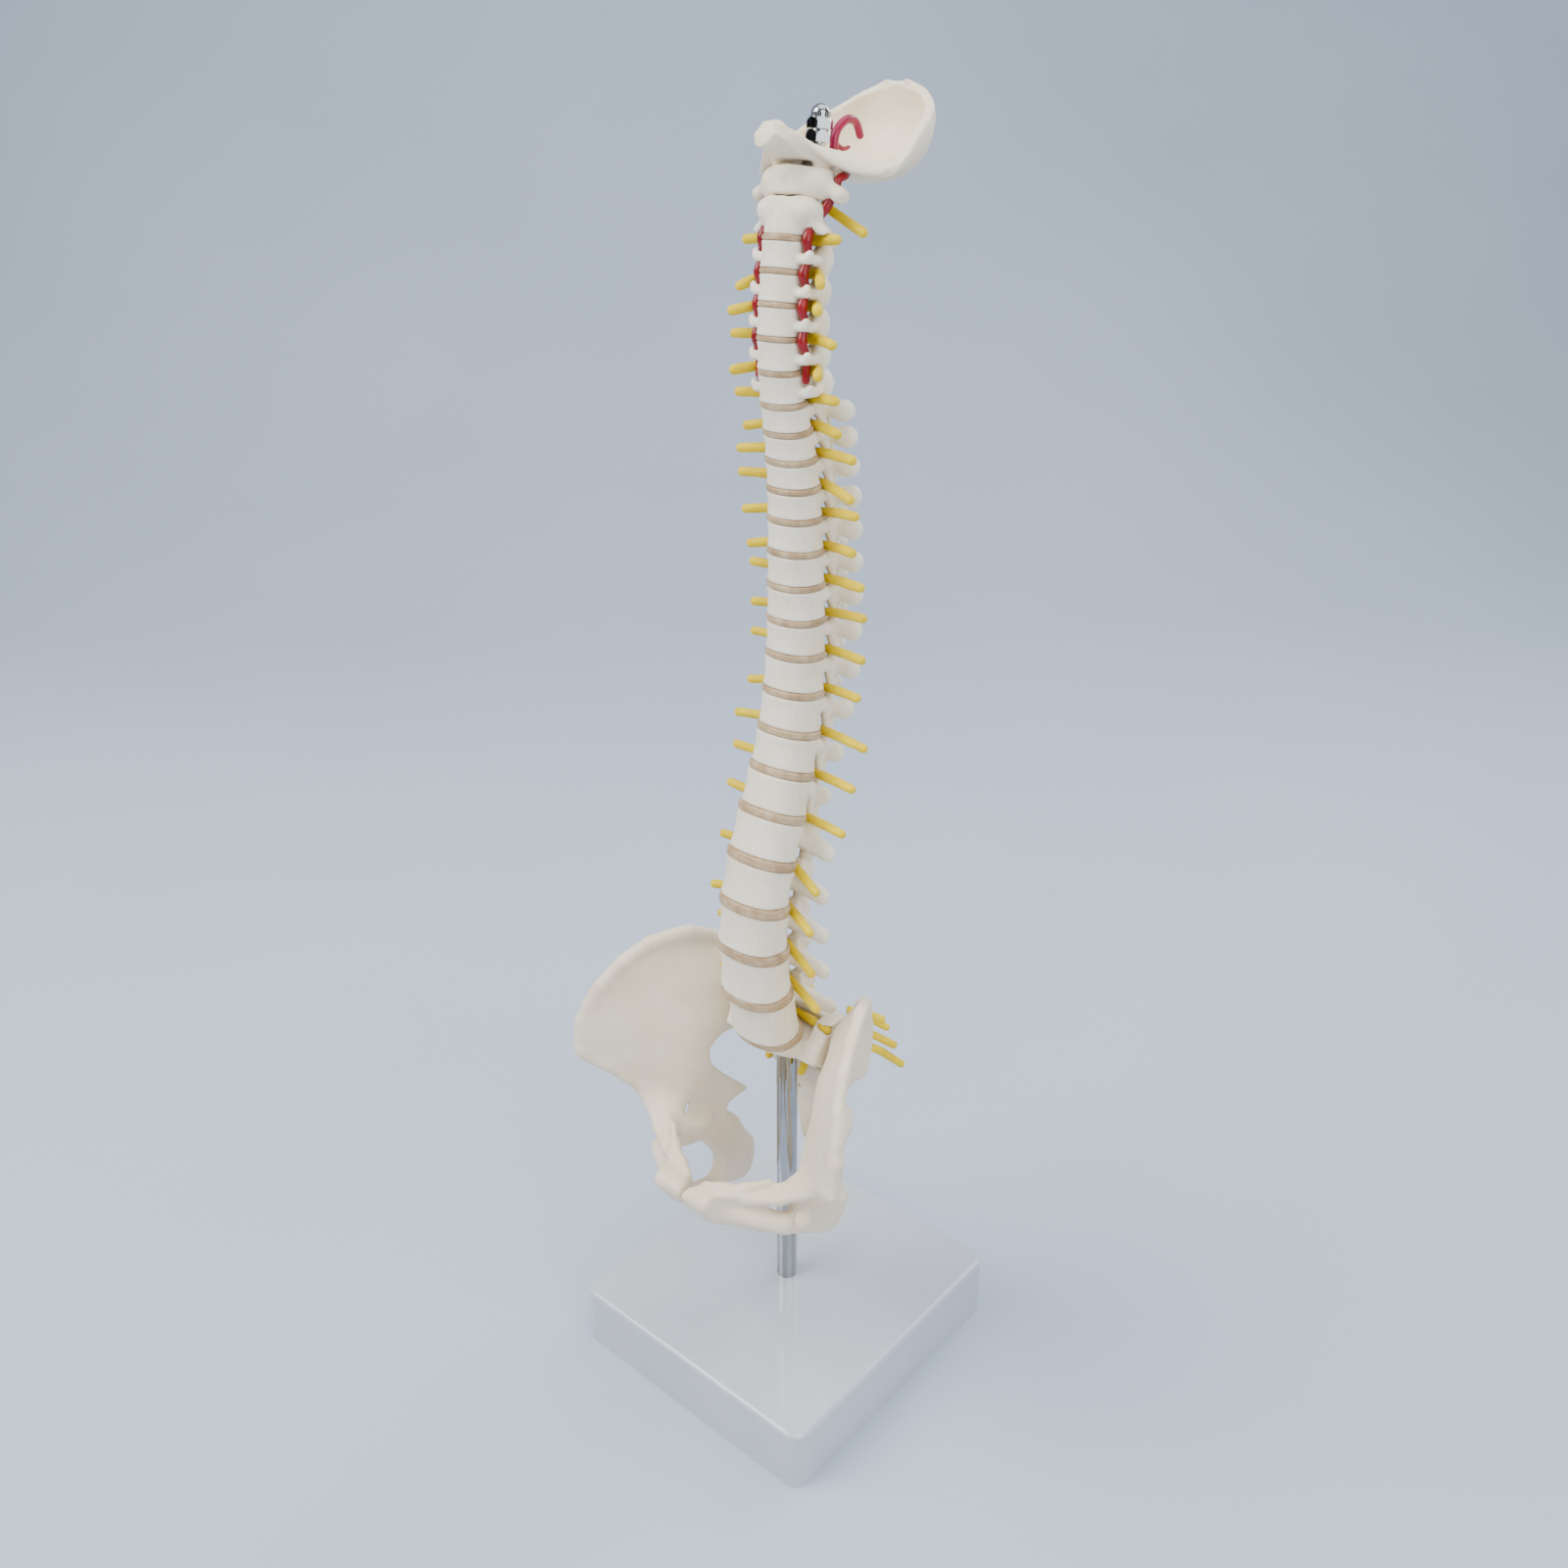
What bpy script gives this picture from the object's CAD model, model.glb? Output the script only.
import bpy
import math
import numpy as np
from mathutils import Matrix, Vector


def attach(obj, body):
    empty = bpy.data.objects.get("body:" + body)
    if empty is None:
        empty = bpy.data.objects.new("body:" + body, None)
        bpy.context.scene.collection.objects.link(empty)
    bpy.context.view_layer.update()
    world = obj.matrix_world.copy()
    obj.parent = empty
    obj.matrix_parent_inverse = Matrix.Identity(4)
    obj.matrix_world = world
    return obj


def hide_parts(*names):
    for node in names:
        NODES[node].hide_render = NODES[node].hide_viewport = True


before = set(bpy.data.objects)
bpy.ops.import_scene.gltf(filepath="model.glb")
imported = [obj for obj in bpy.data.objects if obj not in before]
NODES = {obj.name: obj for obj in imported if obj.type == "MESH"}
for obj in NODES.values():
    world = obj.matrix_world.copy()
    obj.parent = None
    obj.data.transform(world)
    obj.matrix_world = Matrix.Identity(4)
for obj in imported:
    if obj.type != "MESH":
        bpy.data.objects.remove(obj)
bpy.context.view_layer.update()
F = np.float32


# ------------------------------------------------------------------ camera
def make_camera():
    az, pitch, roll, yaw = math.radians(-49.01), math.radians(24.81), math.radians(-0.13), math.radians(0.11)
    pos = np.array([425.2 * math.cos(az), 425.2 * math.sin(az), 439.2]) / 1000
    d = np.array([-math.cos(az + yaw) * math.cos(pitch), -math.sin(az + yaw) * math.cos(pitch), -math.sin(pitch)])
    right = np.cross(d, [0, 0, 1]); right /= np.linalg.norm(right)
    up = np.cross(right, d)
    c, s = math.cos(roll), math.sin(roll)
    r2, u2 = c * right + s * up, -s * right + c * up
    cam_data = bpy.data.cameras.new("camera")
    cam_data.sensor_width = 36.0
    cam_data.lens = 1410.2 / 1600 * 36.0
    cam_data.clip_start, cam_data.clip_end = 0.01, 20
    cam = bpy.data.objects.new("camera", cam_data)
    bpy.context.scene.collection.objects.link(cam)
    m = Matrix(((r2[0], u2[0], -d[0], pos[0]), (r2[1], u2[1], -d[1], pos[1]), (r2[2], u2[2], -d[2], pos[2]), (0, 0, 0, 1)))
    cam.matrix_world = m
    bpy.context.scene.camera = cam


# ------------------------------------------------------------------ signed distance helpers (mm)
def smin(a, b, k):
    h = np.clip(0.5 + 0.5 * (b - a) / k, 0, 1)
    return b + (a - b) * h - k * h * (1 - h)


def smax(a, b, k):
    return -smin(-a, -b, k)


def ell(X, Y, Z, c, r, rx=0.0, rz=0.0):
    """Ellipsoid at c with radii r, tilted by rx about x and then rz about z, in degrees."""
    x, y, z = X - c[0], Y - c[1], Z - c[2]
    if rz:
        a = math.radians(rz); x, y = x * math.cos(a) + y * math.sin(a), -x * math.sin(a) + y * math.cos(a)
    if rx:
        a = math.radians(rx); y, z = y * math.cos(a) + z * math.sin(a), -y * math.sin(a) + z * math.cos(a)
    k0 = np.sqrt((x / r[0]) ** 2 + (y / r[1]) ** 2 + (z / r[2]) ** 2)
    k1 = np.sqrt((x / r[0] ** 2) ** 2 + (y / r[1] ** 2) ** 2 + (z / r[2] ** 2) ** 2) + 1e-6
    return k0 * (k0 - 1) / k1


def caps(X, Y, Z, a, b, ra, rb=None, s=(1, 1, 1)):
    """Capsule from a to b with radii ra and rb; s stretches its cross-section along each axis."""
    rb = ra if rb is None else rb
    ax, ay, az = a[0] / s[0], a[1] / s[1], a[2] / s[2]
    dx, dy, dz = b[0] / s[0] - ax, b[1] / s[1] - ay, b[2] / s[2] - az
    px, py, pz = X / s[0] - ax, Y / s[1] - ay, Z / s[2] - az
    h = np.clip((px * dx + py * dy + pz * dz) / (dx * dx + dy * dy + dz * dz + 1e-9), 0, 1)
    return (np.sqrt((px - h * dx) ** 2 + (py - h * dy) ** 2 + (pz - h * dz) ** 2) - (ra + (rb - ra) * h)) * min(s)


def rbox(X, Y, Z, c, h, r):
    qx, qy, qz = np.abs(X - c[0]) - h[0] + r, np.abs(Y - c[1]) - h[1] + r, np.abs(Z - c[2]) - h[2] + r
    out = np.sqrt(np.maximum(qx, 0) ** 2 + np.maximum(qy, 0) ** 2 + np.maximum(qz, 0) ** 2)
    return out + np.minimum(np.maximum(qx, np.maximum(qy, qz)), 0) - r


def pair(f, *args):
    """f evaluated for the left and the right side by mirroring x."""
    return f(*args)


def nets(f, lo, hi, h):
    """Surface nets of f over a box: vertices and quads."""
    lo, hi = np.array(lo, float), np.array(hi, float)
    n = np.ceil((hi - lo) / h).astype(int) + 1
    X = (lo[0] + h * np.arange(n[0], dtype=F))[:, None, None]
    Y = (lo[1] + h * np.arange(n[1], dtype=F))[None, :, None]
    Z = (lo[2] + h * np.arange(n[2], dtype=F))[None, None, :]
    one = np.ones(tuple(n), F)
    D = f(X * one, Y * one, Z * one).astype(F)
    D[0], D[-1], D[:, 0], D[:, -1], D[:, :, 0], D[:, :, -1] = 1, 1, 1, 1, 1, 1
    S = D < 0
    c = np.zeros(tuple(n - 1), np.uint8)
    for i in (0, 1):
        for j in (0, 1):
            for k in (0, 1):
                c += S[i:n[0] - 1 + i, j:n[1] - 1 + j, k:n[2] - 1 + k]
    act = (c > 0) & (c < 8)
    ids = np.argwhere(act)
    idx = np.full(act.shape, -1, np.int64)
    idx[act] = np.arange(len(ids))
    acc, cnt = np.zeros((len(ids), 3)), np.zeros(len(ids))
    cor = [np.array(v) for v in np.ndindex(2, 2, 2)]
    for a in range(8):
        for b in range(a + 1, 8):
            if abs(cor[a] - cor[b]).sum() != 1:
                continue
            da = D[tuple((ids + cor[a]).T)]
            db = D[tuple((ids + cor[b]).T)]
            m = (da < 0) != (db < 0)
            t = np.where(m, da / np.where(m, da - db, 1), 0)[:, None]
            acc += np.where(m[:, None], cor[a] + (cor[b] - cor[a]) * t, 0)
            cnt += m
    V = lo + h * (ids + acc / cnt[:, None])
    Q = []
    for ax in range(3):
        u, v = (ax + 1) % 3, (ax + 2) % 3
        sl0 = [slice(None)] * 3; sl1 = [slice(None)] * 3
        sl0[ax], sl1[ax] = slice(0, -1), slice(1, None)
        A, B = S[tuple(sl0)], S[tuple(sl1)]
        g = np.argwhere(A != B)
        g = g[(g[:, u] > 0) & (g[:, v] > 0) & (g[:, u] < n[u] - 1) & (g[:, v] < n[v] - 1)]
        inside = A[tuple(g.T)]
        eu, ev = np.zeros(3, int), np.zeros(3, int)
        eu[u], ev[v] = 1, 1
        q = np.stack([idx[tuple((g - eu - ev).T)], idx[tuple((g - ev).T)], idx[tuple(g.T)], idx[tuple((g - eu).T)]], 1)
        q[~inside] = q[~inside][:, ::-1]
        Q.append(q)
    return V, np.concatenate(Q)


def relax(V, Q, times=2, lam=0.5, mu=-0.52):
    """Taubin smoothing: takes the grid's steps out and keeps the size."""
    e = np.concatenate([Q[:, [0, 1]], Q[:, [1, 2]], Q[:, [2, 3]], Q[:, [3, 0]]])
    e = np.concatenate([e, e[:, ::-1]])
    deg = np.bincount(e[:, 0], minlength=len(V))[:, None]
    for _ in range(times):
        for w in (lam, mu):
            s = np.stack([np.bincount(e[:, 0], V[e[:, 1], k], len(V)) for k in range(3)], 1)
            V = V + w * (s / deg - V)
    return V


def mesh_object(name, V, Q, mat, smooth=True):
    me = bpy.data.meshes.new(name)
    V = np.asarray(V, float) / 1000
    Q = np.asarray(Q)
    me.vertices.add(len(V))
    me.vertices.foreach_set("co", V.astype(F).ravel())
    me.loops.add(Q.size)
    me.loops.foreach_set("vertex_index", Q.astype(np.int32).ravel())
    me.polygons.add(len(Q))
    me.polygons.foreach_set("loop_start", np.arange(0, Q.size, Q.shape[1], dtype=np.int32))
    me.polygons.foreach_set("loop_total", np.full(len(Q), Q.shape[1], np.int32))
    me.update(calc_edges=True)
    me.validate()
    if smooth:
        me.polygons.foreach_set("use_smooth", np.ones(len(me.polygons), bool))
    me.materials.append(mat)
    ob = bpy.data.objects.new(name, me)
    bpy.context.scene.collection.objects.link(ob)
    return ob


def place(name, V, Q, mat, node):
    ob = mesh_object(name, V, Q, mat)
    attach(ob, "root")
    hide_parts(node)
    return ob


# ------------------------------------------------------------------ materials
def principled(name):
    m = bpy.data.materials.new(name)
    m.use_nodes = True
    nt = m.node_tree
    b = nt.nodes["Principled BSDF"]
    return m, nt, b


def tex_coord(nt, scale):
    tc = nt.nodes.new("ShaderNodeTexCoord")
    mp = nt.nodes.new("ShaderNodeMapping")
    mp.inputs["Scale"].default_value = scale
    nt.links.new(tc.outputs["Object"], mp.inputs["Vector"])
    return mp.outputs["Vector"]


def noise(nt, vec, scale, detail=3.0, rough=0.55):
    n = nt.nodes.new("ShaderNodeTexNoise")
    n.inputs["Scale"].default_value = scale
    n.inputs["Detail"].default_value = detail
    n.inputs["Roughness"].default_value = rough
    nt.links.new(vec, n.inputs["Vector"])
    return n.outputs["Fac"]


def ramp(nt, fac, stops):
    r = nt.nodes.new("ShaderNodeValToRGB")
    while len(r.color_ramp.elements) < len(stops):
        r.color_ramp.elements.new(0.5)
    for e, (p, c) in zip(r.color_ramp.elements, stops):
        e.position, e.color = p, c
    nt.links.new(fac, r.inputs["Fac"])
    return r.outputs["Color"]


def math_node(nt, op, a, b=None, clamp=False):
    n = nt.nodes.new("ShaderNodeMath")
    n.operation, n.use_clamp = op, clamp
    for i, v in enumerate((a, b)):
        if v is None:
            continue
        if isinstance(v, (int, float)):
            n.inputs[i].default_value = v
        else:
            nt.links.new(v, n.inputs[i])
    return n.outputs[0]


def bump(nt, b, height, strength, dist):
    n = nt.nodes.new("ShaderNodeBump")
    n.inputs["Strength"].default_value = strength
    n.inputs["Distance"].default_value = dist
    nt.links.new(height, n.inputs["Height"])
    nt.links.new(n.outputs["Normal"], b.inputs["Normal"])


def g(*c):
    """sRGB 0-255 to linear RGBA."""
    return tuple(((x / 255 + 0.055) / 1.055) ** 2.4 if x > 10 else x / 255 / 12.92 for x in c) + (1.0,)


def mat_bone(name, tint=(0, 0, 0), streaks=1.0):
    m, nt, b = principled(name)
    big = noise(nt, tex_coord(nt, (1, 1, 1)), 55, 4)
    fine = noise(nt, tex_coord(nt, (1, 1, 0.12)), 900, 2, 0.6)
    speck = noise(nt, tex_coord(nt, (1, 1, 1)), 420, 3, 0.6)
    mixed = math_node(nt, "ADD", math_node(nt, "MULTIPLY", big, 0.62), math_node(nt, "MULTIPLY", fine, 0.38 * streaks))
    t = tint
    col = ramp(nt, mixed, [(0.30, g(232 + t[0], 216 + t[1], 190 + t[2])), (0.50, g(240 + t[0], 229 + t[1], 207 + t[2])),
                           (0.70, g(246 + t[0], 239 + t[1], 222 + t[2]))])
    nt.links.new(col, b.inputs["Base Color"])
    rough = ramp(nt, speck, [(0.3, (0.42, 0.42, 0.42, 1)), (0.7, (0.60, 0.60, 0.60, 1))])
    nt.links.new(rough, b.inputs["Roughness"])
    b.inputs["Specular IOR Level"].default_value = 0.42
    b.inputs["Subsurface Weight"].default_value = 0.12
    b.inputs["Subsurface Radius"].default_value = (0.003, 0.002, 0.0012)
    b.inputs["Subsurface Scale"].default_value = 0.6
    h = math_node(nt, "ADD", math_node(nt, "MULTIPLY", fine, 0.6 * streaks), math_node(nt, "MULTIPLY", speck, 0.5))
    h = math_node(nt, "ADD", h, math_node(nt, "MULTIPLY", big, 1.2))
    bump(nt, b, h, 0.35, 0.00025)
    return m


def mat_disc():
    m, nt, b = principled("disc_amber")
    v = tex_coord(nt, (1, 1, 0.35))
    streak = noise(nt, v, 230, 3)
    layer = noise(nt, tex_coord(nt, (0.12, 0.12, 1)), 1500, 2)
    mixed = math_node(nt, "ADD", math_node(nt, "MULTIPLY", streak, 0.6), math_node(nt, "MULTIPLY", layer, 0.4))
    col = ramp(nt, mixed, [(0.36, g(178, 146, 106)), (0.5, g(203, 173, 134)), (0.66, g(222, 198, 162))])
    nt.links.new(col, b.inputs["Base Color"])
    b.inputs["Roughness"].default_value = 0.22
    b.inputs["IOR"].default_value = 1.45
    b.inputs["Transmission Weight"].default_value = 0.22
    b.inputs["Subsurface Weight"].default_value = 0.3
    b.inputs["Subsurface Radius"].default_value = (0.004, 0.0025, 0.0015)
    bump(nt, b, mixed, 0.25, 0.0002)
    return m


def mat_soft(name, dark, mid, light, rough=0.33, sss=0.15):
    m, nt, b = principled(name)
    n1 = noise(nt, tex_coord(nt, (1, 1, 1)), 130, 4)
    n2 = noise(nt, tex_coord(nt, (1, 1, 1)), 900, 2)
    nt.links.new(ramp(nt, n1, [(0.32, dark), (0.5, mid), (0.72, light)]), b.inputs["Base Color"])
    r = ramp(nt, n2, [(0.3, (rough - 0.06,) * 3 + (1,)), (0.7, (rough + 0.1,) * 3 + (1,))])
    nt.links.new(r, b.inputs["Roughness"])
    b.inputs["Subsurface Weight"].default_value = sss
    b.inputs["Specular IOR Level"].default_value = 0.25 if sss == 0 else 0.5
    b.inputs["Subsurface Radius"].default_value = (0.003, 0.0015, 0.0008)
    bump(nt, b, math_node(nt, "ADD", n1, math_node(nt, "MULTIPLY", n2, 0.3)), 0.3, 0.0002)
    return m


def mat_artery():
    m, nt, b = principled("artery_crimson")
    tc = nt.nodes.new("ShaderNodeTexCoord")
    sep = nt.nodes.new("ShaderNodeSeparateXYZ")
    nt.links.new(tc.outputs["Object"], sep.inputs[0])
    up = math_node(nt, "MULTIPLY", math_node(nt, "SUBTRACT", sep.outputs["Z"], 0.436), 250, True)
    n1 = noise(nt, tex_coord(nt, (1, 1, 1)), 160, 3)
    low = ramp(nt, n1, [(0.3, g(112, 0, 10)), (0.7, g(150, 0, 20))])
    top = ramp(nt, n1, [(0.3, g(128, 0, 50)), (0.7, g(156, 0, 66))])
    mix = nt.nodes.new("ShaderNodeMix"); mix.data_type = "RGBA"
    nt.links.new(up, mix.inputs["Factor"]); nt.links.new(low, mix.inputs[6]); nt.links.new(top, mix.inputs[7])
    nt.links.new(mix.outputs[2], b.inputs["Base Color"])
    b.inputs["Roughness"].default_value = 0.28
    bump(nt, b, n1, 0.25, 0.0002)
    return m


def mat_metal(name, lo, hi, r0, r1, stretch=(1, 1, 0.05), scale=900):
    m, nt, b = principled(name)
    n1 = noise(nt, tex_coord(nt, stretch), scale, 2)
    n2 = noise(nt, tex_coord(nt, (1, 1, 1)), 60, 3)
    nt.links.new(ramp(nt, n2, [(0.3, lo), (0.7, hi)]), b.inputs["Base Color"])
    nt.links.new(ramp(nt, n1, [(0.35, (r0,) * 3 + (1,)), (0.75, (r1,) * 3 + (1,))]), b.inputs["Roughness"])
    b.inputs["Metallic"].default_value = 1.0
    bump(nt, b, n1, 0.03, 0.00005)
    return m


def mat_base():
    m, nt, b = principled("base_gloss_grey")
    n1 = noise(nt, tex_coord(nt, (1, 1, 1)), 22, 4)
    n2 = noise(nt, tex_coord(nt, (1, 1, 1)), 320, 3)
    nt.links.new(ramp(nt, n1, [(0.3, g(184, 188, 196)), (0.7, g(193, 197, 204))]), b.inputs["Base Color"])
    nt.links.new(ramp(nt, n2, [(0.35, (0.10,) * 3 + (1,)), (0.8, (0.17,) * 3 + (1,))]), b.inputs["Roughness"])
    b.inputs["Coat Weight"].default_value = 0.5
    b.inputs["Coat Roughness"].default_value = 0.05
    bump(nt, b, n1, 0.05, 0.0006)
    return m


BONE = mat_bone("bone_ivory")
BONE_H = mat_bone("bone_pelvis", (-3, -5, -6), 0.35)
BONE_T = mat_bone("bone_skull", (4, 4, 3), 0.25)
DISCM = mat_disc()
NERVE = mat_soft("nerve_yellow", g(214, 180, 0), g(228, 195, 0), g(238, 207, 0), 0.42, 0.0)
CORD = mat_soft("cord_yellow", g(214, 176, 84), g(228, 194, 106), g(238, 210, 130), 0.45)
ARTERY = mat_artery()
CHROME = mat_metal("chrome", g(158, 160, 164), g(176, 178, 182), 0.05, 0.11)
STEEL = mat_metal("steel", g(186, 188, 192), g(204, 206, 209), 0.16, 0.30)
BASEM = mat_base()

# ------------------------------------------------------------------ column table (mm), repeated from part.scad
DISC = [(-1.0, 415.0, 8, 1.6, 13.4, 10.0, 3.0), (-2.0, 406.0, 9, 1.5, 13.6, 10.0, 2.5), (-3.0, 397.0, 7, 1.5, 13.6, 10.0, 2.0),
        (-3.2, 387.7, 4, 1.5, 14.4, 10.4, 1.5), (-2.5, 378.3, -2, 1.6, 14.8, 10.6, 1.2), (-1.0, 369.0, -6, 1.7, 15.8, 11.6, 1.0),
        (1.0, 360.7, -8, 1.8, 16.8, 12.4, 1.0), (2.6, 352.0, -7, 1.8, 17.6, 13.4, 1.0), (3.7, 343.0, -4, 1.9, 18.2, 14.4, 1.0),
        (4.2, 333.4, -2, 1.9, 18.4, 15.2, 1.0), (4.5, 323.0, 0, 2.0, 18.8, 16.0, 1.0), (4.8, 312.0, 0, 2.0, 19.2, 16.8, 1.0),
        (4.9, 300.6, 1, 2.1, 19.8, 17.4, 1.0), (4.5, 288.8, 4, 2.2, 20.2, 17.8, 1.0), (3.5, 276.0, 7, 2.3, 21.4, 18.0, 1.0),
        (1.3, 262.6, 12, 2.5, 22.2, 18.2, 1.0), (-2.3, 249.0, 17, 2.7, 23.4, 18.4, 1.0), (-7.4, 235.0, 20, 3.0, 25.0, 18.8, 1.0),
        (-13.0, 219.8, 19, 3.5, 25.6, 19.2, 1.0), (-16.8, 203.8, 12, 3.8, 26.2, 19.6, 1.0), (-17.6, 187.0, 3, 4.0, 27.2, 20.0, 1.0),
        (-16.0, 168.8, -8, 4.0, 27.8, 20.2, 1.0), (-10.0, 149.4, -11, 3.6, 27.0, 19.8, 1.0)]
C2_TOP = (2.5, 425.0, 15, 0.0, 13.0, 9.6, 0.0)
NAMES = ["c1", "c2", "c3", "c4", "c5", "c6", "c7"] + ["t%d" % i for i in range(1, 13)] + ["l%d" % i for i in range(1, 6)]
# nerve ends per disc: sideways, forward, rise on the left side, rise on the right side
NEND = [(17, 3.5, 1, 0), (15.5, 7.5, -1.5, -3.5), (16.5, 9, .5, -1.5), (19, 5.5, 0, .5), (16.5, 9.5, 0, -1), (19, 6.5, 1.5, .5),
        (18, 6.5, -.5, -2), (22.5, 7, 1, -1), (22, 8.5, -1.5, 1), (22.5, 7.5, 3, -1.5), (21, 7.5, 2, -2), (22.5, 5.5, 1.5, 2),
        (23, 5, 3, -.5), (23, 5, 1.5, 1.5), (23, 6, 2.5, -2), (27.5, 5.5, 1, -.5), (25.5, 5, 1.5, 3.5), (25, 4, 1, 5),
        (21, 7, -4, 4.5), (22, 8, -2.5, .5), (21, 5.5, -5, 3), (22, 5.5, -4, -4), (20, 2.5, .5, .5)]


def up_p(v): return C2_TOP if v == 1 else DISC[v - 2]
def lo_p(v): return DISC[v - 1]


def nerve_start(k):
    d = DISC[k]; t = math.radians(d[2]); c = d[5] / 2 + 1.75
    return d[0] + c * math.cos(t), d[1] - c * math.sin(t)


def interp(v, pts):
    return float(np.interp(v, [p[0] for p in pts], [p[1] for p in pts]))


class Local:
    """A vertebra's own frame: origin between its two gaps, leaning with it."""
    def __init__(self, v):
        u, l = up_p(v), lo_p(v)
        self.v, self.u, self.l = v, u, l
        self.cy, self.cz, self.lean = (u[0] + l[0]) / 2, (u[1] + l[1]) / 2, (u[2] + l[2]) / 2
        self.a = math.radians(self.lean)
        self.H = math.hypot(u[0] - l[0], u[1] - l[1])
        self.w, self.d = ((13.2, 9.8) if v == 1 else ((u[4] + l[4]) / 2, (u[5] + l[5]) / 2))
        self.r = interp(v, [(1, 3.6), (6, 3.6), (9, 3.3), (18, 3.3), (20, 3.6), (23, 4.0)])
        self.yc = self.d / 2 + self.r - 0.4

    def to_world(self, V):
        c, s = math.cos(self.a), math.sin(self.a)
        return np.stack([V[:, 0], self.cy + V[:, 1] * c + V[:, 2] * s, self.cz - V[:, 1] * s + V[:, 2] * c], 1)

    def to_local(self, p):
        c, s = math.cos(self.a), math.sin(self.a)
        y, z = p[1] - self.cy, p[2] - self.cz
        return (p[0], y * c - z * s, y * s + z * c)

    def plane(self, p, side, X, Y, Z):
        """Signed height of points above a disc's face: side -1 its lower face, +1 its upper face."""
        t = math.radians(p[2] - self.lean)
        _, y0, z0 = self.to_local((0, p[0], p[1]))
        return (Y - y0) * math.sin(t) + (Z - z0) * math.cos(t) - side * p[3] / 2


def kidney(X, Y, w, d, notch=0.10):
    """2-D distance to a body's rounded outline, hollowed at the back."""
    p = 2.25
    q = (np.abs(X / (w / 2)) ** p + np.abs(Y / (d / 2)) ** p + 1e-9) ** (1 / p)
    b = (q - 1) * min(w, d) / 2
    r = w * 0.42
    hollow = r - np.sqrt(X ** 2 + (Y - d / 2 - r + d * notch) ** 2)
    return smax(b, hollow, 1.2)


def body_sdf(L, X, Y, Z, waist=0.055, rim=0.018):
    hz = L.H / 2 - 0.9
    zt = np.clip(Z / hz, -1.2, 1.2)
    s = 1 - waist * np.clip(1 - zt ** 2, 0, 1) + rim * np.exp(-((np.abs(zt) - 0.97) / 0.14) ** 2)
    side = kidney(X / s, Y / s, L.w * 0.992, L.d * 0.992)
    top = L.plane(L.u, -1, X, Y, Z)
    bot = -L.plane(L.l, 1, X, Y, Z)
    return smax(smax(side, top + 0.03, 0.7), bot + 0.03, 0.7)


def mirrored(f):
    """Evaluates f(|x|, y, z)."""
    return lambda X, Y, Z: f(np.abs(X), Y, Z)


def fac(k):
    y = DISC[k][5] / 2 + 3.6
    x = interp(k, [(0, 6.4), (5, 5.6), (7, 4.6), (16, 4.6), (18, 6), (22, 6.8)])
    w = interp(k, [(0, 4), (7, 3.6), (17, 3.8), (19, 4.6), (22, 4.8)])
    t = interp(k, [(0, 1.6), (7, 1.4), (16, 1.5), (19, 2.1), (22, 2.1)])
    return x, y, w, t


def facet(L, k, over, A, Y, Z, h):
    """Joint block of this vertebra at disc k: over = it hangs from above, behind; else it stands in front."""
    x, y, w, t = fac(k)
    d = DISC[k]
    _, y0, z0 = L.to_local((0, d[0], d[1]))
    ang = math.radians(d[2] - L.lean)
    yy = (Y - y0) * math.cos(ang) - (Z - z0) * math.sin(ang)
    zz = (Y - y0) * math.sin(ang) + (Z - z0) * math.cos(ang)
    if over:
        return rbox(A, yy, zz, (x, y + t * 1.5 + 0.4, h / 2 - 0.85), (w / 2, t / 2, h / 2 + 0.2), 0.7)
    return rbox(A, yy, zz, (x, y + t / 2, 0.85 - h / 2), (w / 2, t / 2, h / 2 + 0.2), 0.7)


def grooves(L, A, X, Y, Z, D):
    """Cuts the notches the nerves pass through."""
    for k in [max(0, L.v - 2), L.v - 1]:
        y0, z0 = nerve_start(k)
        e = NEND[k]
        for s in (1, -1):
            a = L.to_local((s * 2.0, y0, z0))
            b = L.to_local((s * e[0], y0 - e[1], z0 + (e[2] if s > 0 else e[3])))
            D = smax(D, -caps(X, Y, Z, a, b, 1.75), 0.5)
    return D


def rod_cut(L, X, Y, Z, D):
    u, l = L.u, L.l
    a = L.to_local((0, l[0] + l[6] * math.cos(math.radians(l[2])), l[1] - l[6] * math.sin(math.radians(l[2]))))
    b = L.to_local((0, 7.6, 431.0)) if L.v == 1 else L.to_local((0, u[0] + u[6] * math.cos(math.radians(u[2])), u[1] - u[6] * math.sin(math.radians(u[2]))))
    s = np.subtract(b, a) * 0.3
    return np.maximum(D, -caps(X, Y, Z, tuple(np.subtract(a, s)), tuple(np.add(b, s)), 2.25))


def arch(L, A, Y, Z, ped, lam_h, lam_z, thick, shingle=0.25, k=0.8):
    r, yc = L.r, L.yc
    D = caps(A, Y, Z, (r + 1.0, L.d / 2 - 2.6, lam_z + 0.9), (r + 1.3, yc + 1.4, lam_z + 0.5), ped, ped, (0.75, 1, 1.15))
    rho = np.sqrt(A ** 2 + (Y - yc) ** 2)
    zc = lam_z - shingle * np.maximum(Y - yc, 0)
    ring = np.sqrt((np.maximum(np.abs(rho - r - thick / 2) - thick / 2 + 0.5, 0)) ** 2
                   + (np.maximum(np.abs(Z - zc) - lam_h / 2 + 0.5, 0)) ** 2) - 0.5
    ring = smax(ring, yc - 0.2 - Y, 0.6)
    return smin(D, ring, k)


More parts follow.
